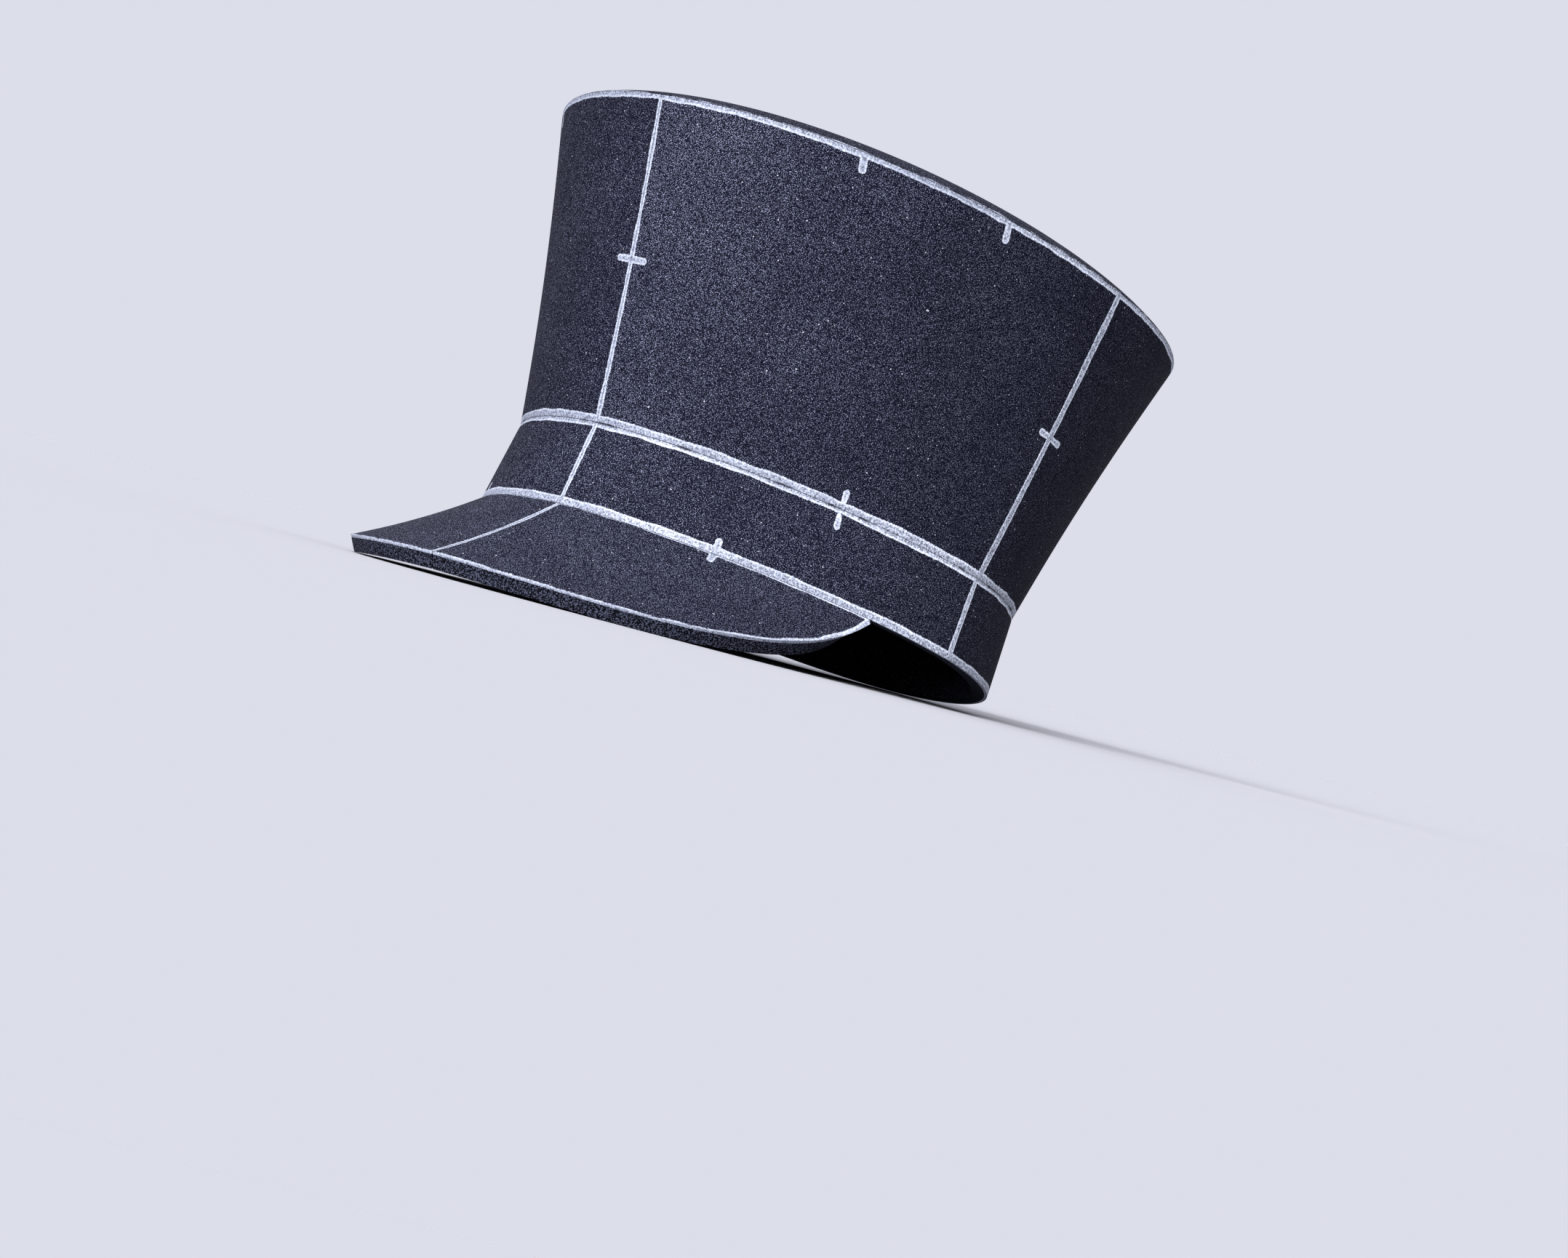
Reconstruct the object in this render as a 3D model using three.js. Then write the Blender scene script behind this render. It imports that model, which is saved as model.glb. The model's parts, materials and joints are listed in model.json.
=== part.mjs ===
// A peaked parade hat of foam sheet: a low band round the rim, a crown wall that flares up from the band,
// a puffed top, and a peak in two halves. Every piece is a bent sheet of the same foam at its full thickness,
// and the pieces meet edge to edge with a hairline gap.
// Millimetres, +Z up. The hat's front is towards -Y, and its left is +X.
// The hat stands by itself on a level surface, on the peak's lower edge and the back of its rim.

import * as THREE from 'three';

const { degToRad, lerp, smoothstep } = THREE.MathUtils;

// Foam sheet, and the gap that is left in each joint
const FOAM = 6;
const GAP = 0.3;

// Outer sections of the hat, from the rim up. Each is an oval: back is how far its centre lies behind the
// rim's, backRise is how much higher its back end is than its middle, and an oval whose fullness is under 2
// has a soft ridge at the front and at the sides.
const SECTIONS = {
  rim: { height: 0, halfWidth: 92.5, halfLength: 104.5, back: 0, backRise: 0, fullness: 1.85 },
  waist: { height: 29.5, halfWidth: 91, halfLength: 103.5, back: 2, backRise: 0, fullness: 1.8 },
  top: { height: 136.5, halfWidth: 105, halfLength: 132, back: 3, backRise: 2.3, fullness: 2.05 },
};

// At half the crown's height its wall bows in by this much, and its side seams bow back by this much.
const CROWN_BOW = 1.3;
const SIDE_SEAM_BOW = 3;

// The top rises by this much, and a higher power gives it a tighter shoulder. Its facets crowd towards
// its edge.
const PUFF_RISE = 10;
const PUFF_POWER = 8;
const PUFF_CROWDING = 2;

// The peak at its middle, the bearing where it runs out at the side, and how both sizes fade on the way
const PEAK_REACH = 47;
const PEAK_DROP = 33;
const PEAK_END = degToRad(67);
const PEAK_REACH_POWER = 1.9;
const PEAK_DROP_POWER = 2.6;
const PEAK_SAG = 1.5;

// The peak's pointed end is cut off at this share of its bearing, and the wedge at its root, which fits the
// band's thickness, grows to the full sheet within this share of its width. From the last share on, the peak
// thins out into the rim's own edge.
const PEAK_CUT = 0.985;
const PEAK_WEDGE = 0.25;
const PEAK_TAPER = 0.75;

// Bearings: 0 is the front, and a quarter turn is the hat's left.
const QUARTER = Math.PI / 2;
const HALF_TURN = 2 * QUARTER;
const WHOLE_TURN = 4 * QUARTER;
const SEAM_TRIM = GAP / 2 / SECTIONS.rim.halfLength;

// Facets along each quarter of the hat, and up each sheet
const QUARTER_FACETS = 18;
const BAND_FACETS = 1;
const CROWN_FACETS = 4;
const PUFF_FACETS = 8;
const PEAK_FACETS = 6;

const FOAM_COLOR = 0x26272e;
const FOAM_ROUGHNESS = 0.9;

// The step for measuring a slope, and the size under which a triangle has collapsed
const SMALL_STEP = 1e-3;
const COLLAPSED = 1e-6;

/** A share that is 0 at both edges of a sheet and 1 half way up it. */
const hump = (up) => 4 * up * (1 - up);

// Ovals

/** Outer point of a section at a bearing. */
function ovalPoint(section, bearing) {
  const { halfWidth, halfLength, fullness } = section;
  const side = Math.sin(bearing);
  const front = -Math.cos(bearing);
  const sum = Math.abs(side / halfWidth) ** fullness + Math.abs(front / halfLength) ** fullness;
  const radius = sum ** (-1 / fullness);
  const lift = section.backRise * radius * front / halfLength;
  return new THREE.Vector3(radius * side, section.back + radius * front, section.height + lift);
}

/** Level direction straight out of a section at a bearing. */
function ovalNormal(section, bearing) {
  const before = ovalPoint(section, bearing - SMALL_STEP);
  const after = ovalPoint(section, bearing + SMALL_STEP);
  const along = after.sub(before);
  return new THREE.Vector3(along.y, -along.x, 0).normalize();
}

// Sheets: a sheet is a function of a bearing and of the share of the way up it

const bandSheet = (bearing, up) => {
  return ovalPoint(SECTIONS.rim, bearing).lerp(ovalPoint(SECTIONS.waist, bearing), up);
};

const crownSheet = (bearing, up) => {
  const straight = ovalPoint(SECTIONS.waist, bearing).lerp(ovalPoint(SECTIONS.top, bearing), up);
  return straight.addScaledVector(ovalNormal(SECTIONS.waist, bearing), -CROWN_BOW * hump(up));
};

/** A domed sheet inside an edge point: the share goes from the edge to the middle of the top. */
function puffPoint(edge, middleRise, share) {
  const { height, halfLength, back, backRise } = SECTIONS.top;
  const level = (y) => height + backRise * (y - back) / halfLength;
  const spread = 1 - share;
  const y = lerp(back, edge.y, spread);
  const rise = lerp(middleRise, edge.z - level(edge.y), spread ** PUFF_POWER);
  return new THREE.Vector3(edge.x * spread, y, level(y) + rise);
}

const puffSheet = (bearing, share) => puffPoint(ovalPoint(SECTIONS.top, bearing), PUFF_RISE, share);

/** The peak's upper face, from its outer edge up to its root under the band. */
const peakSheet = (bearing, up) => {
  const share = Math.abs(bearing) / PEAK_END;
  const reach = PEAK_REACH * (1 - share ** PEAK_REACH_POWER);
  const drop = PEAK_DROP * (1 - share ** PEAK_DROP_POWER);
  const sag = PEAK_SAG * (reach / PEAK_REACH) * hump(up);
  const point = ovalPoint(SECTIONS.rim, bearing);
  point.addScaledVector(ovalNormal(SECTIONS.rim, bearing), reach * (1 - up));
  point.z -= drop * (1 - up) + sag + GAP;
  return point;
};

/** Unit direction out of a sheet's outer face. */
function sheetNormal(sheet, bearing, up) {
  const along = sheet(bearing + SMALL_STEP, up).sub(sheet(bearing - SMALL_STEP, up));
  const rise = sheet(bearing, up + SMALL_STEP).sub(sheet(bearing, up - SMALL_STEP));
  return along.cross(rise).normalize();
}

/** The way in, for each millimetre of foam, along the mitre between two sheets that meet. */
function mitre(normalA, normalB) {
  return normalA.clone().add(normalB).divideScalar(1 + normalA.dot(normalB));
}

// Inner edges of the wall, one sheet's thickness inside its outer edges

function innerRim(bearing) {
  const level = ovalNormal(SECTIONS.rim, bearing);
  const slant = level.dot(sheetNormal(bandSheet, bearing, 0));
  return ovalPoint(SECTIONS.rim, bearing).addScaledVector(level, -FOAM / slant);
}

function innerWaist(bearing) {
  const way = mitre(sheetNormal(bandSheet, bearing, 1), sheetNormal(crownSheet, bearing, 0));
  return ovalPoint(SECTIONS.waist, bearing).addScaledVector(way, -FOAM);
}

function innerTop(bearing) {
  const way = mitre(sheetNormal(crownSheet, bearing, 1), sheetNormal(puffSheet, bearing, 0));
  return ovalPoint(SECTIONS.top, bearing).addScaledVector(way, -FOAM);
}

const innerBand = (bearing, up) => innerRim(bearing).lerp(innerWaist(bearing), up);

const innerCrown = (bearing, up) => {
  const straight = innerWaist(bearing).lerp(innerTop(bearing), up);
  return straight.addScaledVector(ovalNormal(SECTIONS.waist, bearing), -CROWN_BOW * hump(up));
};

const innerPuff = (bearing, share) => puffPoint(innerTop(bearing), PUFF_RISE - FOAM, share);

const innerPeak = (bearing, up) => {
  const outer = peakSheet(bearing, up);
  const full = outer.clone().addScaledVector(sheetNormal(peakSheet, bearing, up), -FOAM);
  const wedge = outer.add(innerRim(bearing)).sub(ovalPoint(SECTIONS.rim, bearing));
  const thinning = smoothstep(Math.abs(bearing) / PEAK_END, PEAK_TAPER, 1);
  return wedge.lerp(full, smoothstep(1 - up, 0, PEAK_WEDGE) * (1 - thinning));
};

// Solids

/**
 * A closed solid between an outer and an inner sheet. The shares in rises run up the sheet, and at each of
 * them the bearings run from first to last. A solid that goes all the way round has no end faces.
 */
function panel(name, outer, inner, { first, last, facets, rises, round = false }) {
  const positions = [];
  const indices = [];
  const rowLength = facets + 1;
  const sideLength = rowLength * rises.length;
  for (const sheet of [outer, inner]) {
    for (const up of rises) {
      for (let column = 0; column < rowLength; column += 1) {
        positions.push(...sheet(lerp(first(up), last(up), column / facets), up).toArray());
      }
    }
  }
  const wrap = (column) => (round ? column % facets : column);
  const at = (side, row, column) => side * sideLength + row * rowLength + wrap(column);
  const corner = (index) => new THREE.Vector3().fromArray(positions, index * 3);
  const triangle = (a, b, c) => {
    const [pa, pb, pc] = [a, b, c].map(corner);
    if (pb.sub(pa).cross(pc.sub(pa)).length() > COLLAPSED) indices.push(a, b, c);
  };
  const quad = (a, b, c, d) => {
    triangle(a, b, c);
    triangle(a, c, d);
  };
  const lastRow = rises.length - 1;
  for (let column = 0; column < facets; column += 1) {
    const next = column + 1;
    for (let row = 0; row < lastRow; row += 1) {
      quad(at(0, row, column), at(0, row, next), at(0, row + 1, next), at(0, row + 1, column));
      quad(at(1, row, column), at(1, row + 1, column), at(1, row + 1, next), at(1, row, next));
    }
    quad(at(0, 0, column), at(1, 0, column), at(1, 0, next), at(0, 0, next));
    quad(at(0, lastRow, column), at(0, lastRow, next), at(1, lastRow, next), at(1, lastRow, column));
  }
  for (let row = 0; row < lastRow && !round; row += 1) {
    quad(at(0, row, 0), at(0, row + 1, 0), at(1, row + 1, 0), at(1, row, 0));
    quad(at(0, row, facets), at(1, row, facets), at(1, row + 1, facets), at(0, row + 1, facets));
  }
  const geometry = new THREE.BufferGeometry();
  geometry.setAttribute('position', new THREE.Float32BufferAttribute(positions, 3));
  geometry.setIndex(indices);
  geometry.computeVertexNormals();
  const foam = { color: FOAM_COLOR, roughness: FOAM_ROUGHNESS, metalness: 0 };
  const mesh = new THREE.Mesh(geometry, new THREE.MeshStandardMaterial(foam));
  mesh.name = name;
  return mesh;
}

/** Shares of the way up a sheet, in even facets from its lower to its upper edge. */
function evenRises(low, high, facets) {
  return Array.from({ length: facets + 1 }, (_, row) => lerp(low, high, row / facets));
}

const bandTrim = GAP / 2 / SECTIONS.waist.height;
const crownTrim = GAP / 2 / (SECTIONS.top.height - SECTIONS.waist.height);
const puffTrim = GAP / 2 / SECTIONS.top.halfWidth;
const bandRises = evenRises(0, 1 - bandTrim, BAND_FACETS);
const crownRises = evenRises(crownTrim, 1 - crownTrim, CROWN_FACETS);
const puffRises = evenRises(0, 1, PUFF_FACETS).map((share) => lerp(puffTrim, 1, share ** PUFF_CROWDING));
const peakRises = evenRises(0, 1, PEAK_FACETS);

// The seams, as bearings that may change on the way up a sheet: the side seams of the crown bow back.
const frontSeam = () => 0;
const bandSide = () => QUARTER;
const crownSide = (up) => QUARTER + SIDE_SEAM_BOW / SECTIONS.top.halfWidth * hump(up);

/** The three stretches of a wall between its front seam and its side seams. */
function wallStretches(sideSeam) {
  return [
    { place: 'front_left', first: frontSeam, last: sideSeam, facets: QUARTER_FACETS },
    { place: 'front_right', first: (up) => -sideSeam(up), last: frontSeam, facets: QUARTER_FACETS },
    { place: 'back', first: sideSeam, last: (up) => WHOLE_TURN - sideSeam(up), facets: 2 * QUARTER_FACETS },
  ];
}

/** The panels of a wall, each trimmed by half the gap at both of its seams. */
function wall(name, outer, inner, sideSeam, rises) {
  return wallStretches(sideSeam).map(({ place, first, last, facets }) => {
    const trimmed = { first: (up) => first(up) + SEAM_TRIM, last: (up) => last(up) - SEAM_TRIM };
    return panel(`${name}_${place}`, outer, inner, { ...trimmed, facets, rises });
  });
}

const band = wall('band', bandSheet, innerBand, bandSide, bandRises);
const crown = wall('crown', crownSheet, innerCrown, crownSide, crownRises);

const wholeTop = { first: frontSeam, last: () => WHOLE_TURN, facets: 4 * QUARTER_FACETS, round: true };
const top = panel('crown_top', puffSheet, innerPuff, { ...wholeTop, rises: puffRises });

const peakEnd = PEAK_END * PEAK_CUT;
const peakGrid = { facets: QUARTER_FACETS, rises: peakRises };
const peak = [
  panel('visor_left', peakSheet, innerPeak, { first: () => SEAM_TRIM, last: () => peakEnd, ...peakGrid }),
  panel('visor_right', peakSheet, innerPeak, { first: () => -peakEnd, last: () => -SEAM_TRIM, ...peakGrid }),
];

const hat = new THREE.Group();
hat.add(...band, ...crown, top, ...peak);

// At rest the hat leans back, until the peak's lower edge and the back of the rim touch one level surface.
const rimBack = ovalPoint(SECTIONS.rim, HALF_TURN);
let lean = 0;
for (const half of peak) {
  const vertices = half.geometry.getAttribute('position');
  for (let index = 0; index < vertices.count; index += 1) {
    lean = Math.max(lean, Math.atan2(rimBack.z - vertices.getZ(index), rimBack.y - vertices.getY(index)));
  }
}
hat.rotation.x = -lean;

// The origin is under the middle of the hat, on the surface.
hat.updateMatrixWorld(true);
const box = new THREE.Box3().setFromObject(hat, true);
const middle = box.getCenter(new THREE.Vector3());
hat.position.set(-middle.x, -middle.y, -box.min.z);

const parade_hat = new THREE.Group();
parade_hat.add(hat);

export default parade_hat;
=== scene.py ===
# %% [markdown]
# # A parade hat of foam sheet
# The real hat is cut from sheets of charcoal foam, bent, and glued edge to edge. Its maker ran a silver pen
# along the edge of every pattern piece, and made short ticks where two pieces have to meet. This lesson
# dresses the frame of that hat: each panel becomes a sheet with soft cut edges, and the foam and the pen
# lines become one procedural material for each tone of panel.

import json
import math

import bpy
from mathutils import Matrix, Vector
from mathutils.kdtree import KDTree


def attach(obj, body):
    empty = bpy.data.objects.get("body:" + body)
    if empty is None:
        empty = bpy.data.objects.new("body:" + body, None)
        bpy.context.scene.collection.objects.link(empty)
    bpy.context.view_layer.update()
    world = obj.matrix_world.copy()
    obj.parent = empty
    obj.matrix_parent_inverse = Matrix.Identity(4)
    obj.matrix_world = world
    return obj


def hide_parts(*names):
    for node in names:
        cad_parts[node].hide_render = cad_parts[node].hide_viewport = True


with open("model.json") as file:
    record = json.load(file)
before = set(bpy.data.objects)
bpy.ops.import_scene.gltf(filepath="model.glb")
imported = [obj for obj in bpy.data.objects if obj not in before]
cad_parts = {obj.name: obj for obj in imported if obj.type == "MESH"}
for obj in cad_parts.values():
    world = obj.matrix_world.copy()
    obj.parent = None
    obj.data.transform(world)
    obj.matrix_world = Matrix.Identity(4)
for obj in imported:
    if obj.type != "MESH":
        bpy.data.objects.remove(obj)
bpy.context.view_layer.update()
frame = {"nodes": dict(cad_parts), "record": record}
print("frame nodes:", sorted(frame["nodes"]))

# %% [markdown]
# ## The hat's own level
# The hat leans back where it stands, because the peak holds its front up. The seams were drawn with the
# rim level, so they are easier to describe there. The mount on the rim's cut edge says how far the rim
# leans, and one matrix takes any point back to the level hat, in millimetres.

# %% Level the hat
MM = 0.001
RIM_FACE_BEHIND_MIDDLE = 101.5 * MM

rim_face = frame["record"]["mounts"][0]
down = Vector(rim_face["axis"])
lean = math.atan2(-down.y, -down.z)
hat_turn = Matrix.Rotation(-lean, 4, "X")
hat_origin = Vector(rim_face["pos_m"]) - hat_turn @ Vector((0, RIM_FACE_BEHIND_MIDDLE, 0))
level_to_standing = Matrix.Translation(hat_origin) @ hat_turn
standing_to_level = level_to_standing.inverted()


def level_point(point):
    """A point of the standing hat, in the level hat's millimetres."""
    return (standing_to_level @ point) / MM


def level_direction(direction):
    """A direction on the standing hat, as it is on the level hat."""
    return standing_to_level.to_3x3() @ direction


print(f"the hat leans back {math.degrees(lean):.1f} degrees")

# %% [markdown]
# ## Working by selection
# Blender's operators act on what is selected, so each step starts by clearing the selection. These helpers
# do what a hand does with the mouse: pick one object, enter edit mode, leave it, and apply a modifier.

# %% Selection helpers
def pick(piece):
    """Select one object alone and make it active."""
    bpy.ops.object.select_all(action="DESELECT")
    piece.select_set(True)
    bpy.context.view_layer.objects.active = piece


SELECT_MODES = ("VERT", "EDGE", "FACE")


def edit(piece, select_mode):
    """Enter edit mode on one object, with vertices, edges or faces to pick."""
    pick(piece)
    bpy.context.tool_settings.mesh_select_mode = [mode == select_mode for mode in SELECT_MODES]
    bpy.ops.object.mode_set(mode="EDIT")


def leave_edit():
    bpy.ops.object.mode_set(mode="OBJECT")


def apply_modifier(piece, kind, **settings):
    """Add a modifier, set it and apply it."""
    pick(piece)
    bpy.ops.object.modifier_add(type=kind)
    modifier = piece.modifiers[-1]
    for name, value in settings.items():
        setattr(modifier, name, value)
    bpy.ops.object.modifier_apply(modifier=modifier.name)


def select_faces(piece, indices):
    """In object mode, select these faces and nothing else."""
    mesh = piece.data
    for parts in (mesh.vertices, mesh.edges, mesh.polygons):
        parts.foreach_set("select", [False] * len(parts))
    for index in indices:
        mesh.polygons[index].select = True


print("edit mode can pick", SELECT_MODES)

# %% [markdown]
# ## Shader maths in plain sums
# A pen line is a distance that is compared with a width, so its mask is mostly sums. The class below wraps a
# socket, and adds a Math node for each plus, minus, times or divide. Every other node comes from its one
# method, which sets a node's settings first and then its sockets.

# %% A socket that can be used in sums
class Wire:
    """An output socket of a node tree."""

    def __init__(self, tree, socket=None):
        self.tree = tree
        self.socket = socket

    def node(self, kind, settings, sockets, output=0):
        """Add a node: settings are set first, then each socket gets its value or link."""
        made = self.tree.nodes.new("ShaderNode" + kind)
        for name, value in settings.items():
            setattr(made, name, value)
        for name, value in sockets.items():
            if isinstance(value, Wire):
                self.tree.links.new(value.socket, made.inputs[name])
            else:
                made.inputs[name].default_value = value
        return Wire(self.tree, made.outputs[output])

    def xyz(self):
        """The three parts of a vector."""
        split = self.node("SeparateXYZ", {}, {"Vector": self})
        return [Wire(self.tree, part) for part in split.socket.node.outputs]

    def math(self, operation, *values):
        return self.node("Math", {"operation": operation}, dict(enumerate(values)))

    def __add__(self, other):
        return self.math("ADD", self, other)

    def __sub__(self, other):
        return self.math("SUBTRACT", self, other)

    def __mul__(self, other):
        return self.math("MULTIPLY", self, other)

    def __truediv__(self, other):
        return self.math("DIVIDE", self, other)

    def __pow__(self, other):
        return self.math("POWER", self, other)

    def __radd__(self, other):
        return self.math("ADD", other, self)

    def __rsub__(self, other):
        return self.math("SUBTRACT", other, self)

    def __rmul__(self, other):
        return self.math("MULTIPLY", other, self)

    def __abs__(self):
        return self.math("ABSOLUTE", self)

    def least(self, other):
        return self.math("MINIMUM", self, other)

    def most(self, other):
        return self.math("MAXIMUM", self, other)

    def ramp(self, low, high):
        """0 where the value is at low or under it, 1 at high or over it, and soft between them."""
        settings = {"interpolation_type": "SMOOTHSTEP"}
        return self.node("MapRange", settings, {"Value": self, "From Min": low, "From Max": high})

    def noise(self, scale, detail, roughness=0.5):
        """Noise at this place, with lumps about one over scale millimetres across."""
        sockets = {"Vector": self, "Scale": scale, "Detail": detail, "Roughness": roughness}
        return self.node("TexNoise", {}, sockets)

    def mix(self, low, high):
        """A colour between low and high, by this share."""
        return self.node("Mix", {"data_type": "RGBA"}, {0: self, 6: low, 7: high}, output=2)


print("shader maths ready")

# %% [markdown]
# ## From a panel of the frame to a sheet of foam
# Every panel of the real hat is one bent sheet, six millimetres thick, with mitred edges. A flat grid could
# be rolled up to the same outline by hand, but the frame already holds the true bend and the true mitres, so
# each sheet starts as a copy of its node. The frame's meshes are loose triangles. The copy is merged, and
# its triangles are joined in pairs, because quads bend smoothly later and triangles don't.

# %% Copy a panel
MERGE_DISTANCE = 0.002 * MM
PAIR_ANGLE = math.radians(60)


def copy_panel(node_name):
    """A sheet of clean quads, made from a node of the frame."""
    sheet = bpy.data.objects.new(node_name + "_sheet", frame["nodes"][node_name].data.copy())
    bpy.context.collection.objects.link(sheet)
    sheet.data.materials.clear()
    edit(sheet, "FACE")
    bpy.ops.mesh.select_all(action="SELECT")
    bpy.ops.mesh.customdata_custom_splitnormals_clear()
    bpy.ops.mesh.remove_doubles(threshold=MERGE_DISTANCE)
    bpy.ops.mesh.tris_convert_to_quads(face_threshold=PAIR_ANGLE, shape_threshold=math.pi)
    leave_edit()
    return sheet


sheets = {name: copy_panel(name) for name in sorted(frame["nodes"])}
for name, sheet in sheets.items():
    print(name, len(sheet.data.polygons), "faces")

# %% [markdown]
# ## Faces of a sheet
# A sheet has a smooth outer face with pen lines, a plain inner face, and cut edges where the blade opened
# the foam's cells. They take three materials. Each broad face is found from the one facet that looks most in
# its direction: the selection then grows over every neighbour that bends away gently, and stops at the cut
# edges.

# %% Pick the faces of a sheet
CREASE = math.radians(25)
PEAK_SLOPE = math.radians(35)
SLOTS = range(3)
CUT_EDGE, OUTER_FACE, INNER_FACE = SLOTS


def outwards(place):
    return Vector((place.x, place.y, 0)).normalized()


def upwards(place):
    return Vector((0, 0, 1))


def up_and_forwards(place):
    return Vector((0, -math.sin(PEAK_SLOPE), math.cos(PEAK_SLOPE)))


FACING = {"band": outwards, "crown": outwards, "crown_top": upwards, "visor": up_and_forwards}


def group_of(node_name):
    """The group of panels that a node belongs to."""
    return node_name if node_name in FACING else node_name.split("_")[0]


def select_broad_face(sheet, facing, side):
    """In edit mode, select the whole face of a sheet that looks along a direction, or against it."""
    def looks(face):
        return side * level_direction(face.normal).dot(facing(level_point(face.center)))

    seed = max(sheet.data.polygons, key=looks).index
    select_faces(sheet, [seed])
    edit(sheet, "FACE")
    bpy.ops.mesh.faces_select_linked_flat(sharpness=CREASE)


def mark_faces(sheet, facing):
    """Give the outer and the inner face of a sheet material slots of their own."""
    for _ in SLOTS:
        sheet.data.materials.append(None)
    for slot, side in ((OUTER_FACE, 1), (INNER_FACE, -1)):
        select_broad_face(sheet, facing, side)
        sheet.active_material_index = slot
        bpy.ops.object.material_slot_assign()
        leave_edit()


for name, sheet in sheets.items():
    mark_faces(sheet, FACING[group_of(name)])
    slots = [face.material_index for face in sheet.data.polygons]
    print(name, "cut, outer, inner:", [slots.count(slot) for slot in SLOTS])

# %% [markdown]
# ## Glued seams
# The frame leaves a gap in every joint. On the real hat the glue pulls the seams shut and the pen runs over
# them. So the cut edges that meet in the upright seams, at the waist and at the root of the peak are pushed
# together until a hairline is left. Joining the panels into one mesh would close the seams too, but then
# they would no longer be separate pieces. The rim's own cut edge, behind the peak, meets nothing and stays.

# %% Close the seams
SEAM_CLOSING = 0.12 * MM
HIGHEST_LEVEL_SEAM = 40
HIGHEST_RIM_FACE = 1

# Each way across a seam, and how squarely a cut face has to look along it
SEAM_WAYS = [(Vector((1, 0, 0)), 0.95), (Vector((0, 1, 0)), 0.95), (Vector((0, 0, 1)), 0.8)]


def glued_faces(sheet, way, square):
    """The cut faces of a sheet that are glued to a neighbour along a direction of the level hat."""
    def is_glued(face):
        place = level_point(face.center)
        upright = way.z == 0
        bare_rim = place.y > 0 and place.z < HIGHEST_RIM_FACE
        level_seam = place.z < HIGHEST_LEVEL_SEAM and not bare_rim
        looks = level_direction(face.normal).dot(way) > square
        return face.material_index == CUT_EDGE and looks and (upright or level_seam)

    return [face.index for face in sheet.data.polygons if is_glued(face)]


def close_seams(sheet):
    """Push the glued cut edges of a sheet towards their neighbours, until the seam is a hairline."""
    for axis, square in SEAM_WAYS:
        for way in (axis, -axis):
            select_faces(sheet, glued_faces(sheet, way, square))
            edit(sheet, "FACE")
            bpy.ops.transform.translate(value=hat_turn @ way * SEAM_CLOSING)
            leave_edit()


for sheet in sheets.values():
    close_seams(sheet)
print(f"seams closed by {SEAM_CLOSING / MM} mm on each side")

# %% [markdown]
# ## Soft cut edges and one smooth bend
# A blade leaves foam with an edge that is crisp, but not as sharp as a line. A bevel on every sharp edge
# rounds it over a fifth of a millimetre, and also holds the edge in place when the sheet is smoothed
# afterwards. The skin and its ink run over that rounding. A Subdivision Surface then turns the flat facets
# into one bend, as a heated sheet has.

# %% Round and smooth the sheets
EDGE_ROUNDING = 0.2 * MM
EDGE_SEGMENTS = 2
SMOOTHING = 3
TOP_SMOOTHING = 2


def round_edges(sheet):
    """Round every cut edge of a sheet, and let the skin run over the rounding of its outer face."""
    edit(sheet, "EDGE")
    bpy.ops.mesh.select_all(action="DESELECT")
    bpy.ops.mesh.edges_select_sharp(sharpness=CREASE)
    bpy.ops.mesh.bevel(offset=EDGE_ROUNDING, segments=EDGE_SEGMENTS, affect="EDGES", clamp_overlap=True)
    leave_edit()
    faces = sheet.data.polygons
    skin = [face for face in faces if face.material_index == OUTER_FACE]
    skin_corners = {corner for face in skin for corner in face.vertices}
    for face in faces:
        if face.select and not skin_corners.isdisjoint(face.vertices):
            face.material_index = OUTER_FACE


def smooth_sheet(sheet, levels):
    """Bend the facets of a sheet into one smooth curve."""
    apply_modifier(sheet, "SUBSURF", levels=levels, render_levels=levels)
    pick(sheet)
    bpy.ops.object.shade_smooth()


for name, sheet in sheets.items():
    round_edges(sheet)
    smooth_sheet(sheet, TOP_SMOOTHING if name == "crown_top" else SMOOTHING)
    print(name, len(sheet.data.polygons), "smooth faces")

# %% [markdown]
# ## Where the pen ran along the peak
# The pen lines on the wall follow seams that are easy to write as distances. The peak's edge is a free
# curve, so its line is measured instead: each vertex of the peak gets its distance to the nearest point of
# the border round its upper face, apart from the seam in its middle, and the material reads that number back
# as an attribute.

# %% Measure the peak's border
BORDER_DISTANCE = "border_mm"
CENTRE_SEAM = 1 * MM


def measure_border(sheet):
    """Store each vertex's distance to the border of the sheet's outer face, in millimetres."""
    mesh = sheet.data
    slots_at = [set() for _ in mesh.vertices]
    for face in mesh.polygons:
        for corner in face.vertices:
            slots_at[corner].add(face.material_index)
    border = [
        index for index, slots in enumerate(slots_at)
        if {OUTER_FACE, CUT_EDGE} <= slots and abs(mesh.vertices[index].co.x) > CENTRE_SEAM
    ]
    tree = KDTree(len(border))
    for index in border:
        tree.insert(mesh.vertices[index].co, index)
    tree.balance()
    distances = [tree.find(vertex.co)[2] / MM for vertex in mesh.vertices]
    mesh.attributes.new(BORDER_DISTANCE, "FLOAT", "POINT").data.foreach_set("value", distances)
    return max(distances)


for name in ("visor_left", "visor_right"):
    print(name, f"is up to {measure_border(sheets[name]):.0f} mm from its border")
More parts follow.
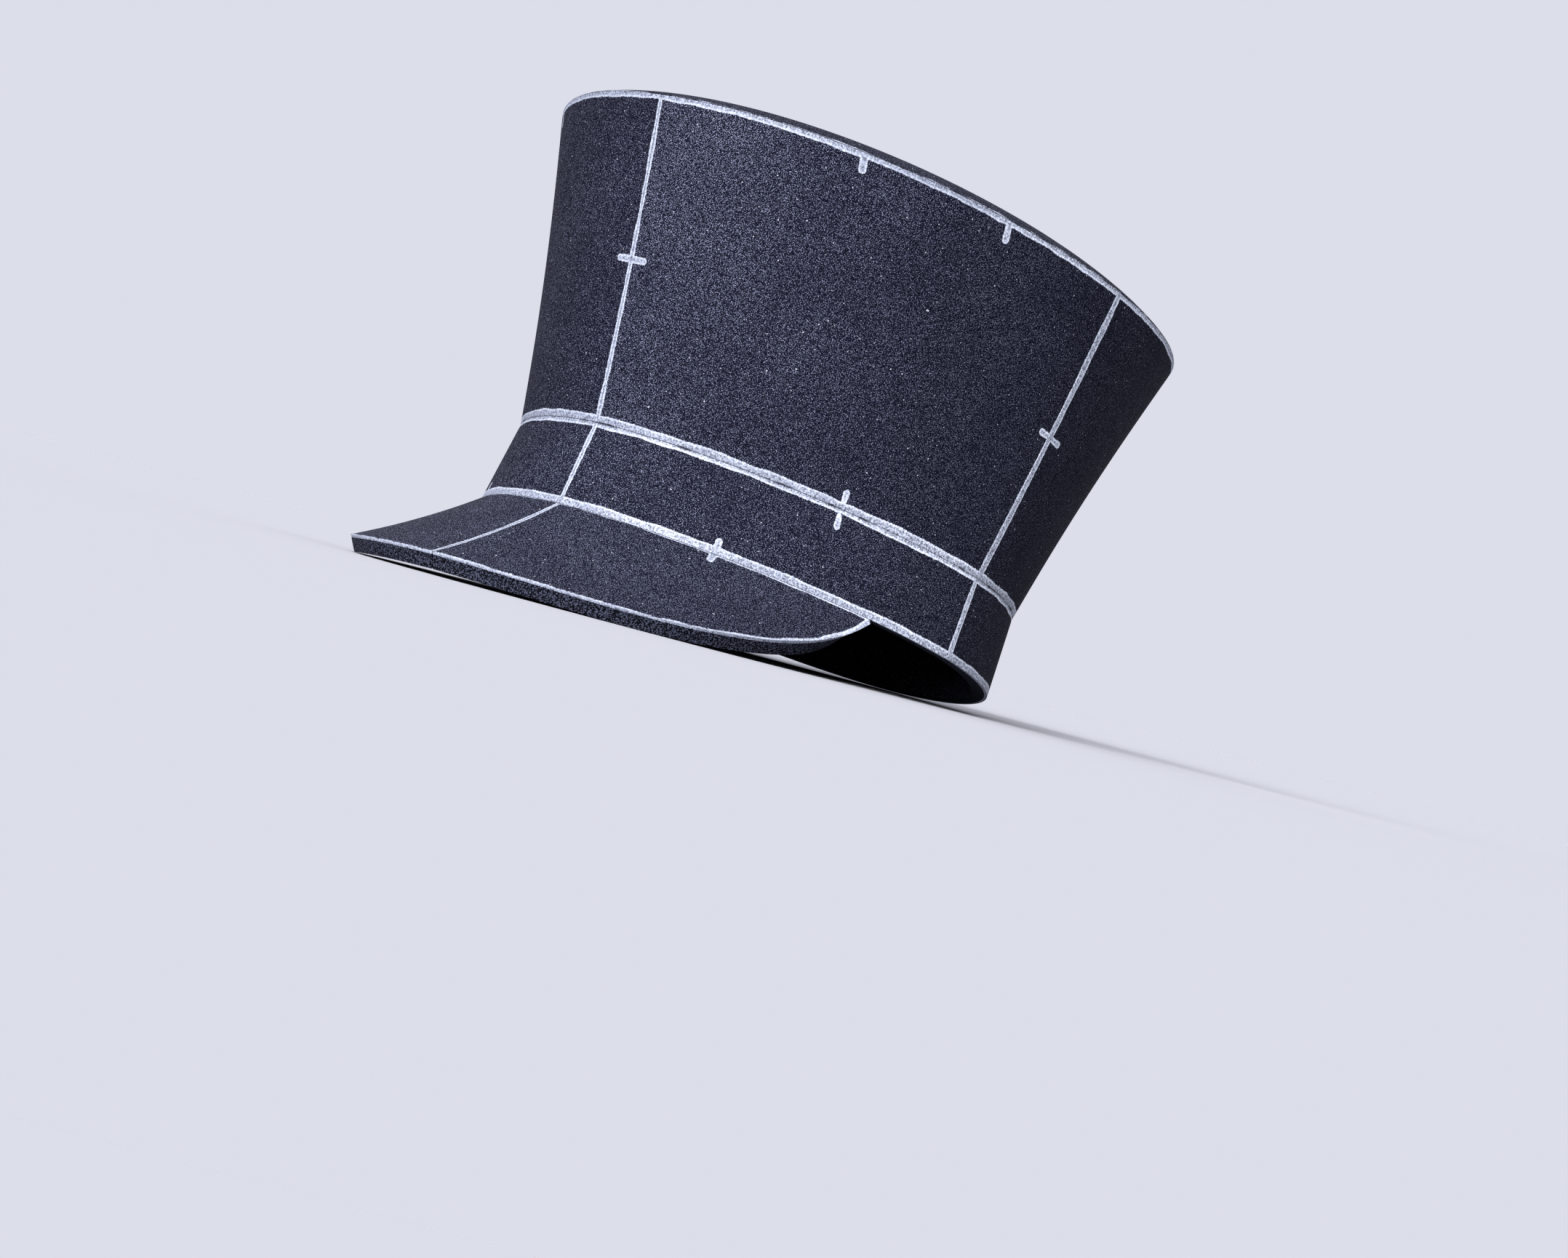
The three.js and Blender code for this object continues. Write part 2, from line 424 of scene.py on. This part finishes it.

# %% [markdown]
# ## Charcoal foam
# The foam is nearly black with a blue cast. Close up its skin is a fine grain of closed cells, about a
# quarter of a millimetre across, with a few brighter specks, and it scatters light softly. A picture of foam
# would repeat and stretch, so the grain is noise on Object coordinates, turned to the level hat and scaled
# to millimetres. Only the high spots of the grain are pale, and a slow cloud varies how pale they are. That
# paleness and the specks are painted glints: the sparkle that the cells catch from the light, laid into the
# colour of the real grain.

# %% The foam's skin
SKIN_DARK = (0.0009, 0.0011, 0.0042, 1)
# The grain's pale colour and the specks' colour are painted glints, sparkle off the cells.
SKIN_GRAIN_GLINT = (0.119, 0.126, 0.186, 1)
GLINT_COLOUR = (0.22, 0.224, 0.26, 1)
SKIN_ROUGHNESS = 0.75
SKIN_GLOSS = 0.02
GRAIN_SCALE = 4.2
GRAIN_FLOOR, GRAIN_SPAN, GRAIN_CONTRAST = 0.53, 0.24, 2.0
GRAIN_HEIGHT = 0.1 * MM
CLOUD_SCALE, CLOUD_ENDS = 0.035, (0.3, 0.7)
CLOUD_PALENESS = (0.85, 1.15)
GLINTS_PER_MM, GLINT_ENDS = 0.5, (0.22, 0.16)
GLINT_SHIFT_SCALE, GLINT_SHIFT = 0.7, 0.3


class Finish:
    """A new material with a place to measure from, and the foam's grain on it."""

    def __init__(self, name):
        self.material = bpy.data.materials.new(name)
        self.material.use_nodes = True
        self.tree = self.material.node_tree
        self.shader = self.tree.nodes["Principled BSDF"]
        start = Wire(self.tree)
        standing = start.node("TexCoord", {}, {}, "Object")
        level = {"Location": hat_origin, "Rotation": (-lean, 0, 0), "Scale": (MM, MM, MM)}
        self.place = start.node("Mapping", {"vector_type": "TEXTURE"}, {"Vector": standing, **level})
        self.x, self.y, self.z = self.place.xyz()
        self.grain = self.place.noise(GRAIN_SCALE, 0)
        self.feed("Specular IOR Level", SKIN_GLOSS)

    def feed(self, socket_name, value):
        """Link a wire to the shader, or set a value on it."""
        socket = self.shader.inputs[socket_name]
        if isinstance(value, Wire):
            self.tree.links.new(value.socket, socket)
        else:
            socket.default_value = value

    def bump(self, height, distance):
        """Raise the surface by a height from 0 to 1, over a distance in metres."""
        normal = height.node("Bump", {}, {"Height": height, "Distance": distance})
        self.feed("Normal", normal)


def foam_skin(finish, paleness=1.0):
    """The colour of bare foam, with painted glints on its grain and in its specks. Its paleness is 1 for a
    plain sheet, and on other panels it paints light and shade.
    """
    # The pale high spots of the grain are painted glint.
    shade = ((finish.grain - GRAIN_FLOOR) / GRAIN_SPAN).most(0.0) ** GRAIN_CONTRAST
    low, high = CLOUD_PALENESS
    cloud = low + finish.place.noise(CLOUD_SCALE, 2).ramp(*CLOUD_ENDS) * (high - low)
    skin = (shade * cloud * paleness).least(1.0).mix(SKIN_DARK, SKIN_GRAIN_GLINT)
    # Sparse specks of brighter painted glint.
    glint_dots = finish.place.node("TexVoronoi", {}, {"Vector": finish.place, "Scale": GLINTS_PER_MM})
    shift = finish.place.noise(GLINT_SHIFT_SCALE, 0) * GLINT_SHIFT
    return (glint_dots + shift).ramp(*GLINT_ENDS).mix(skin, GLINT_COLOUR)


def bare_foam(name):
    """A material of plain foam, for the inside of the hat."""
    finish = Finish(name)
    finish.feed("Base Color", foam_skin(finish))
    finish.feed("Roughness", SKIN_ROUGHNESS)
    finish.bump(finish.grain, GRAIN_HEIGHT)
    return finish.material


inside = bare_foam("foam_inside")
print("made", inside.name)

# %% [markdown]
# ## Cut foam
# Where a blade went through, the cells lie open. So the edge has a coarser and deeper grain than the skin,
# it is rougher, and there are no specks of painted glint on it. It is darker too: partly from its open
# cells, and partly as painted shade that stands for the shade on the edges.

# %% The cut edges
CUT_DARK = (0.0008, 0.0009, 0.002, 1)
# The cut's pale end is kept low, partly as painted shade on the edges.
CUT_LIGHT = (0.032, 0.035, 0.055, 1)
CUT_ROUGHNESS = 0.85
CELL_SCALE, CELL_ENDS = 2.0, (0.4, 0.75)
CELL_HEIGHT = 0.15 * MM


def cut_foam(name):
    """A material of foam with open cells."""
    finish = Finish(name)
    open_cells = finish.place.noise(CELL_SCALE, 0)
    finish.feed("Base Color", open_cells.ramp(*CELL_ENDS).mix(CUT_DARK, CUT_LIGHT))
    finish.feed("Roughness", CUT_ROUGHNESS)
    finish.bump(open_cells, CELL_HEIGHT)
    return finish.material


cut_edge = cut_foam("foam_cut_edge")
print("made", cut_edge.name)

# %% [markdown]
# ## Tones of the panels
# In the photograph the panels differ in tone. The near front panel of the crown is palest at the front seam
# and darkens towards the side, and the far one, the band and the back are darker. The real panels are
# probably one foam, and much of this is light that the lamps below don't give. So each panel has a matched
# paleness that stands in for it. The top's is a guess, as only its edge shows.

# %% Tones of the panels
# Painted light at the front of the near panel, and painted shade at its side.
FRONT_PAINTED_LIGHT, SIDE_PAINTED_SHADE = 1.42, 0.78
HAT_FRONT = -115
FRONT_FALL = 4.0


def same_tone(paleness):
    """A tone that is the same all over a panel."""
    return lambda finish: paleness


def left_painted_light(finish):
    """Painted light, palest at the front seam, that falls off into painted shade towards the side."""
    return SIDE_PAINTED_SHADE + (finish.y / HAT_FRONT).most(0.0) ** FRONT_FALL * (FRONT_PAINTED_LIGHT - SIDE_PAINTED_SHADE)


# Each panel's tone is painted light and shade; the plain tone of 1 paints none.
plain_tone = same_tone(1.0)
right_painted_shade = same_tone(0.72)
band_painted_shade = same_tone(0.8)
back_painted_shade = same_tone(0.62)
print("the left panel's tone goes from", FRONT_PAINTED_LIGHT, "to", SIDE_PAINTED_SHADE)

# %% [markdown]
# ## The reach of a pen mark
# The maker's pen left a line along every seam, and short ticks across some of them. Such marks could be
# painted on a picture, but then they would blur close up. Each mark is written as a reach instead: how far
# a point lies inside the mark, in millimetres, and less than nothing outside it. A tick is a short capsule,
# and a line is a strip along a seam that may cover more of one panel than of the other.

# %% Ticks and lines of the pen
TICK_HALF_WIDTH = 1.25
OUT_OF_REACH = 10


def tick_reach(finish, first, last):
    """The reach of a short tick between two points, on both halves of the hat."""
    along = Vector(last) - Vector(first)
    node = finish.place.node
    mirrored = node("CombineXYZ", {}, {"X": abs(finish.x), "Y": finish.y, "Z": finish.z})
    offset = node("VectorMath", {"operation": "SUBTRACT"}, {0: mirrored, 1: first})
    share = node("VectorMath", {"operation": "DOT_PRODUCT"}, {0: offset, 1: along}, "Value")
    share = (share / along.length_squared).least(1.0).most(0.0)
    nearest = node("VectorMath", {"operation": "SCALE"}, {0: along, "Scale": share})
    distance = node("VectorMath", {"operation": "DISTANCE"}, {0: offset, 1: nearest}, "Value")
    return TICK_HALF_WIDTH - distance


def stroke(offset, before, after):
    """The reach of a line that covers so much before and after a seam, by the offset from the seam."""
    middle = (after - before) / 2
    return (after + before) / 2 - abs(offset - middle)


def front_only(finish, reach):
    """A reach that ends behind the middle of the hat."""
    return reach - (finish.y * OUT_OF_REACH).most(0.0)


print("the pen makes ticks", 2 * TICK_HALF_WIDTH, "mm wide")

# %% [markdown]
# ## Silver ink
# The longest reach of all the marks is taken, a slow noise makes the hand waver, and a fine one frays the
# edge. Silver ink pools along the rim of a stroke, lies broken over the tooth of the foam, wears off in
# patches over the groove of a seam, and has a soft gloss, which a clear coat gives it. In the photograph the
# lines stay bright towards the sides, where the foam gets dark. That too is probably light, so the ink is
# given a brighter colour there, which stands in for it.

# %% Cover foam with ink
INK_DULL = (0.072, 0.081, 0.116, 1)
INK_FRONT = (0.235, 0.254, 0.318, 1)
# At the sides the ink is brighter as painted reflection, silver catching light.
INK_SIDE_PAINTED_REFLECTION = (0.46, 0.49, 0.59, 1)
INK_SIDE_ENDS = (-90, 0)
INK_ROUGHNESS, INK_METAL = 0.6, 0.05
INK_COAT, INK_COAT_ROUGHNESS = 0.4, 0.45
INK_HEIGHT = 0.3
WAVER_SCALE, WAVER = 0.09, 1.4
FRAY_SCALE, FRAY = 1.8, 0.7
COVER_ENDS, POOL_ENDS = (-0.12, 0.16), (0.95, 0.25)
GROOVE_ENDS, GROOVE_SCALE, WORN_ENDS = (0.7, 0.15), 0.12, (0.48, 0.66)
LEAST_WORN, MORE_WORN = 0.1, 0.8
TOOTH_SCALE, TOOTH_ENDS = 1.8, (0.38, 0.5)
TOOTH_LOW, POOL_COVER = 0.35, 0.8
STREAK_SCALE, STREAK_ROUGHNESS, STREAK_ENDS = 1.3, 0.6, (0.38, 0.62)
TONE_LOW, TONE_POOL, TONE_STREAK = 0.1, 0.45, 0.6


def waver(finish, scale, size):
    """A noise that moves a line by about its size, in millimetres."""
    return (finish.place.noise(scale, 2) - 0.5) * size


def lay_ink(finish, marks):
    """How much ink covers each point, and its tone from dull to bright."""
    from_seam, longest, *others = marks
    for reach in others:
        longest = longest.most(reach)
    inside_line = longest + waver(finish, WAVER_SCALE, WAVER) + waver(finish, FRAY_SCALE, FRAY)
    pooled = inside_line.ramp(*POOL_ENDS)
    worn = LEAST_WORN + finish.place.noise(GROOVE_SCALE, 3).ramp(*WORN_ENDS) * MORE_WORN
    groove = from_seam.ramp(*GROOVE_ENDS) * worn
    tooth = TOOTH_LOW + finish.place.noise(TOOTH_SCALE, 1).ramp(*TOOTH_ENDS) * (1 - TOOTH_LOW)
    cover = inside_line.ramp(*COVER_ENDS) * tooth.most(pooled * POOL_COVER) * (1 - groove)
    streaks = finish.place.noise(STREAK_SCALE, 3, STREAK_ROUGHNESS).ramp(*STREAK_ENDS)
    tone = (TONE_LOW + pooled * TONE_POOL + streaks * TONE_STREAK).least(1.0)
    return cover, tone


def inked_foam(name, lines, painted_light_and_shade=plain_tone):
    """Foam with pen lines. The lines give a distance from the worn seam, and then each mark's reach."""
    finish = Finish(name)
    ink, tone = lay_ink(finish, lines(finish))
    # Towards the sides the ink's colour carries painted reflection.
    ink_with_painted_reflection = finish.y.ramp(*INK_SIDE_ENDS).mix(INK_FRONT, INK_SIDE_PAINTED_REFLECTION)
    # The panel's painted light and shade lightens or darkens the foam here.
    foam = foam_skin(finish, painted_light_and_shade(finish))
    finish.feed("Base Color", ink.mix(foam, tone.mix(INK_DULL, ink_with_painted_reflection)))
    finish.feed("Roughness", SKIN_ROUGHNESS + ink * (INK_ROUGHNESS - SKIN_ROUGHNESS))
    finish.feed("Metallic", ink * INK_METAL)
    finish.feed("Coat Weight", ink * INK_COAT)
    finish.feed("Coat Roughness", INK_COAT_ROUGHNESS)
    finish.bump(finish.grain + ink * INK_HEIGHT, GRAIN_HEIGHT)
    return finish.material


print("ink is bright from", INK_FRONT[:3], "in front to", INK_SIDE_PAINTED_REFLECTION[:3], "at the sides")

# %% [markdown]
# ## Lines on the crown
# The crown's panels meet in a front seam and two side seams that bow back a little. The lower edge follows
# the waist, the upper edge rises gently towards the back. Each line has its own width, read off the
# photograph.

# %% Ink the crown
WAIST = 29.5
TOP, TOP_MIDDLE = 136.5, 3
TOP_RISE, TOP_HALF_LENGTH = 2.3, 132
SIDE_SEAM_LOW, SIDE_SEAM_HIGH, SIDE_SEAM_BOW = 2, 3, 2.8

# How far each line reaches before its seam, and after it
FRONT_LINE = (0.9, 0.9)
SIDE_LINE = (0.7, 2.6)
WAIST_LINE = (1.0, 2.4)
TOP_LINE = (1.9, 1.0)

# The two ends of each tick
CROWN_TICKS = [
    ((0, -113.9, 82.2), (5.2, -113.7, 82.2)),
    ((96.6, 0.4, 82.9), (95.9, 13.2, 82.7)),
    ((72.2, -56.7, 34.9), (72.4, -56.2, 29.5)),
    ((65.5, -99.4, 129.4), (65.7, -101.8, 136)),
    ((94.1, -53.1, 129.4), (94.6, -54.8, 134.5)),
]


def top_edge(finish):
    """The height of the crown's upper edge."""
    return TOP + (finish.y - TOP_MIDDLE) * (TOP_RISE / TOP_HALF_LENGTH)


def ticks(finish, table):
    """The reach of every tick in a table of ends."""
    return [tick_reach(finish, *ends) for ends in table]


def crown_lines(finish):
    """The crown's distance from the waist, where its ink is worn, and the reach of its marks."""
    rise = (finish.z - WAIST) / (TOP - WAIST)
    hump = rise * (1 - rise) * 4
    side_seam = SIDE_SEAM_LOW + rise * (SIDE_SEAM_HIGH - SIDE_SEAM_LOW) + hump * SIDE_SEAM_BOW
    lines = [
        front_only(finish, stroke(finish.x, *FRONT_LINE)),
        stroke(finish.y - side_seam, *SIDE_LINE),
        stroke(finish.z - WAIST, *WAIST_LINE),
        stroke(finish.z - top_edge(finish), *TOP_LINE),
    ]
    return [abs(finish.z - WAIST)] + lines + ticks(finish, CROWN_TICKS)


# The crown's three panels are one foam, each with its own painted light and shade.
crown_left = inked_foam("foam_crown_left", crown_lines, left_painted_light)
crown_right = inked_foam("foam_crown_right", crown_lines, right_painted_shade)
crown_back = inked_foam("foam_crown_back", crown_lines, back_painted_shade)
print("inked", crown_left.name, crown_right.name, crown_back.name)

# %% [markdown]
# ## Lines on the band, the top and the peak
# The band has a line along both of its edges and across its seams. The top shows only the thin line that
# marks where it was glued to the crown. The peak has its line all round, from the border that was measured,
# and it gets wider towards the ends of the peak.

# %% Ink the band, the top and the peak
BAND_FRONT_LINE = (0.85, 0.85)
BAND_SIDE_LINE = (0.8, 1.8)
BAND_WAIST_LINE = (1.6, 1.0)
RIM_LINE = (1.0, 2.5)
TOP_GLUE_LINE = (1.0, 0.15)
PEAK_SEAM_LINE = (0.85, 0.85)
PEAK_LINE_FRONT, PEAK_LINE_END = 1.1, 1.7
PEAK_WIDENS = (-120, -60)

BAND_TICKS = [
    ((72.4, -56.2, 29.5), (72.6, -55.9, 23.7)),
    ((51, -83.1, 4.2), (51.2, -83.4, 0)),
]
TOP_TICKS = [((65.7, -101.8, 136), (65.2, -101, 138))]
PEAK_TICKS = [((51.2, -83.4, 0), (52.8, -86.5, -2.2))]


def band_lines(finish):
    """The band's distance from the waist, where its ink is worn, and the reach of its marks."""
    side_seam = finish.z / WAIST * SIDE_SEAM_LOW
    lines = [
        front_only(finish, stroke(finish.x, *BAND_FRONT_LINE)),
        stroke(finish.y - side_seam, *BAND_SIDE_LINE),
        stroke(finish.z - WAIST, *BAND_WAIST_LINE),
        stroke(finish.z, *RIM_LINE),
    ]
    return [abs(finish.z - WAIST)] + lines + ticks(finish, BAND_TICKS)


def top_lines(finish):
    """The top's distance from its glued edge, and the reach of its marks."""
    from_edge = finish.z - top_edge(finish)
    return [abs(from_edge), stroke(from_edge, *TOP_GLUE_LINE)] + ticks(finish, TOP_TICKS)


def peak_lines(finish):
    """A distance that is out of reach, because the peak's ink isn't worn, and the reach of its marks."""
    border = finish.place.node("Attribute", {"attribute_name": BORDER_DISTANCE}, {}, "Fac")
    width = PEAK_LINE_FRONT + finish.y.ramp(*PEAK_WIDENS) * (PEAK_LINE_END - PEAK_LINE_FRONT)
    lines = [width - border, stroke(finish.x, *PEAK_SEAM_LINE)]
    return [border + OUT_OF_REACH] + lines + ticks(finish, PEAK_TICKS)


# The band, the back band and the top carry painted shade as well.
band_front = inked_foam("foam_band", band_lines, band_painted_shade)
band_back = inked_foam("foam_band_back", band_lines, back_painted_shade)
top = inked_foam("foam_top", top_lines, back_painted_shade)
peak = inked_foam("foam_peak", peak_lines)
print("inked", band_front.name, band_back.name, top.name, peak.name)

# %% [markdown]
# ## Dress the sheets
# Each sheet takes its three materials, rides on the hat's one body, and stands for its panel of the frame.

# %% Dress the sheets
SKINS = {
    "band_back": band_back, "band_front_left": band_front, "band_front_right": band_front,
    "crown_back": crown_back, "crown_front_left": crown_left, "crown_front_right": crown_right,
    "crown_top": top, "visor_left": peak, "visor_right": peak,
}

for name, sheet in sheets.items():
    sheet.data.materials[CUT_EDGE] = cut_edge
    sheet.data.materials[OUTER_FACE] = SKINS[name]
    sheet.data.materials[INNER_FACE] = inside
    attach(sheet, "root")
    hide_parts(name)
    print("dressed", sheet.name)

# %% [markdown]
# ## Sky
# Behind the hat there is nothing, so the sky is one pale tone where it shows. If that tone lit the hat as
# well, its sides would be nearly as bright as its front. So what lights the hat is dim all round, as in a
# studio whose walls are far off, and bright only behind the hat, where a lit backdrop would stand.

# %% Light the sky
CAMERA_TURN = math.radians(37.1)
BACKDROP_COLOUR = (0.716, 0.730, 0.823)
BACKDROP_LIGHT = (0.95, 0.97, 1.09)
BACKDROP_ENDS = (0.1, 0.6)
SKY_COLOUR = (0.20, 0.21, 0.235)

world = bpy.data.worlds.new("studio_sky")
world.use_nodes = True
sky = Wire(world.node_tree)
way_out = sky.node("TexCoord", {}, {}, "Generated")
backdrop_way = Vector((-math.sin(CAMERA_TURN), math.cos(CAMERA_TURN), 0))
behind = sky.node("VectorMath", {"operation": "DOT_PRODUCT"}, {0: way_out, 1: backdrop_way}, "Value")
lighting = behind.ramp(*BACKDROP_ENDS).mix((*SKY_COLOUR, 1), (*BACKDROP_LIGHT, 1))
shows = sky.node("LightPath", {}, {}, "Is Camera Ray")
seen = shows.mix(lighting, (*BACKDROP_COLOUR, 1))
world.node_tree.links.new(seen.socket, world.node_tree.nodes["Background"].inputs["Color"])
bpy.context.scene.world = world
bpy.context.scene.view_settings.view_transform = "Standard"
print("the backdrop lies towards", [round(part, 2) for part in backdrop_way])

# %% [markdown]
# ## Lamps
# The main light is soft, from a broad lamp in front of the hat. A second one straight above lifts the peak
# and the top. A lamp could be a panel near the hat, but its light would fall off over the floor, so both are
# far away and shine evenly.

# %% Add the lamps
LAMP_TURN = math.radians(17)
LAMP_RISE = math.radians(23)
LAMP_SPREAD = math.radians(45)
LAMP_SHARE = 4.5
OVERHEAD_SPREAD = math.radians(60)
OVERHEAD_SHARE = 1.1


def add_lamp(name, share, spread, turn, rise):
    """A far lamp that shines from a turn and rise, with its share of the light on a face towards it."""
    light = bpy.data.lights.new(name, "SUN")
    light.energy = share * math.pi
    light.angle = spread
    lamp = bpy.data.objects.new(name, light)
    lamp.rotation_euler = (math.pi / 2 - rise, 0, turn)
    bpy.context.collection.objects.link(lamp)


add_lamp("front_lamp", LAMP_SHARE, LAMP_SPREAD, LAMP_TURN, LAMP_RISE)
add_lamp("overhead_lamp", OVERHEAD_SHARE, OVERHEAD_SPREAD, 0, math.pi / 2)
print(f"the front lamp is {math.degrees(LAMP_RISE):.0f} degrees up")

# %% [markdown]
# ## Floor
# A wall could close the view, but its foot would show as a line across the picture. Instead the floor runs
# on to the horizon, and its own colour is worked out so that the lit floor is as bright as the backdrop, and
# hardly a line shows between them. A level floor sees the whole sky, and each patch of it counts by the
# shadow that it would drop straight down onto a disc. So the backdrop's share is its average over that disc.

# %% Lay the floor
FLOOR_RADIUS = 30
FLOOR_SIDES = 96
DISC_STEPS = 200


def soft_step(value, low, high):
    """The ramp of a wire, for a plain number."""
    share = min(max((value - low) / (high - low), 0), 1)
    return share * share * (3 - 2 * share)


def backdrop_on_floor():
    """The share of the sky's light on a level floor that comes from the bright backdrop."""
    places = [(step + 0.5) / DISC_STEPS * 2 - 1 for step in range(DISC_STEPS)]
    widths = [math.sqrt(1 - place * place) for place in places]
    ink_with_painted_reflection = sum(soft_step(place, *BACKDROP_ENDS) * width for place, width in zip(places, widths))
    return ink_with_painted_reflection / sum(widths)


from_backdrop = backdrop_on_floor()
from_lamps = LAMP_SHARE * math.sin(LAMP_RISE) + OVERHEAD_SHARE
floor_colour = [
    wanted / (dim + (ink_with_painted_reflection - dim) * from_backdrop + from_lamps)
    for wanted, dim, ink_with_painted_reflection in zip(BACKDROP_COLOUR, SKY_COLOUR, BACKDROP_LIGHT)
]

bpy.ops.object.select_all(action="DESELECT")
bpy.ops.mesh.primitive_circle_add(vertices=FLOOR_SIDES, radius=FLOOR_RADIUS, fill_type="TRIFAN")
floor = bpy.context.active_object
floor.name = "studio_floor"
paper = bpy.data.materials.new("studio_paper")
paper.use_nodes = True
paper_shader = paper.node_tree.nodes["Principled BSDF"]
paper_shader.inputs["Base Color"].default_value = (*floor_colour, 1)
paper_shader.inputs["Roughness"].default_value = 1
paper_shader.inputs["Specular IOR Level"].default_value = 0
floor.data.materials.append(paper)
print(f"backdrop's share {from_backdrop:.3f}, floor colour", [round(part, 2) for part in floor_colour])

# %% [markdown]
# ## Camera
# The view is the photograph's: from the hat's left front, tilted, with the hat high in the frame. There
# the hat is seen from a little below. Here it stands on a floor, so the camera comes up until it is just
# above the floor, and keeps its turn, tilt, distance and lens.

# %% Place the camera
CAMERA_RISE = math.radians(-0.1)
CAMERA_TILT = math.radians(14.95)
CAMERA_DISTANCE = 1.1536
CAMERA_LENS = 75.14
SENSOR_WIDTH = 36
NEAREST_SEEN = 0.05
AIM_HEIGHT = 80 * MM
HAT_RIGHT_OF_MIDDLE = 10.6 * MM
HAT_ABOVE_MIDDLE = 83.3 * MM

look_at = level_to_standing @ Vector((0, 0, AIM_HEIGHT))
level_way = Vector((math.sin(CAMERA_TURN), -math.cos(CAMERA_TURN), 0))
back = level_way * math.cos(CAMERA_RISE) + Vector((0, 0, math.sin(CAMERA_RISE)))
level_right = Vector((0, 0, 1)).cross(back).normalized()
level_up = back.cross(level_right)
right = level_right * math.cos(CAMERA_TILT) + level_up * math.sin(CAMERA_TILT)
up = back.cross(right)
eye = look_at + back * CAMERA_DISTANCE - right * HAT_RIGHT_OF_MIDDLE - up * HAT_ABOVE_MIDDLE

camera_data = bpy.data.cameras.new("studio_camera")
camera_data.lens = CAMERA_LENS
camera_data.sensor_width = SENSOR_WIDTH
camera_data.sensor_fit = "HORIZONTAL"
camera_data.clip_start = NEAREST_SEEN
camera = bpy.data.objects.new("studio_camera", camera_data)
camera.matrix_world = Matrix.Translation(eye) @ Matrix((right, up, back)).transposed().to_4x4()
bpy.context.collection.objects.link(camera)
bpy.context.scene.camera = camera
print(f"the camera is {eye.z / MM:.0f} mm above the floor")
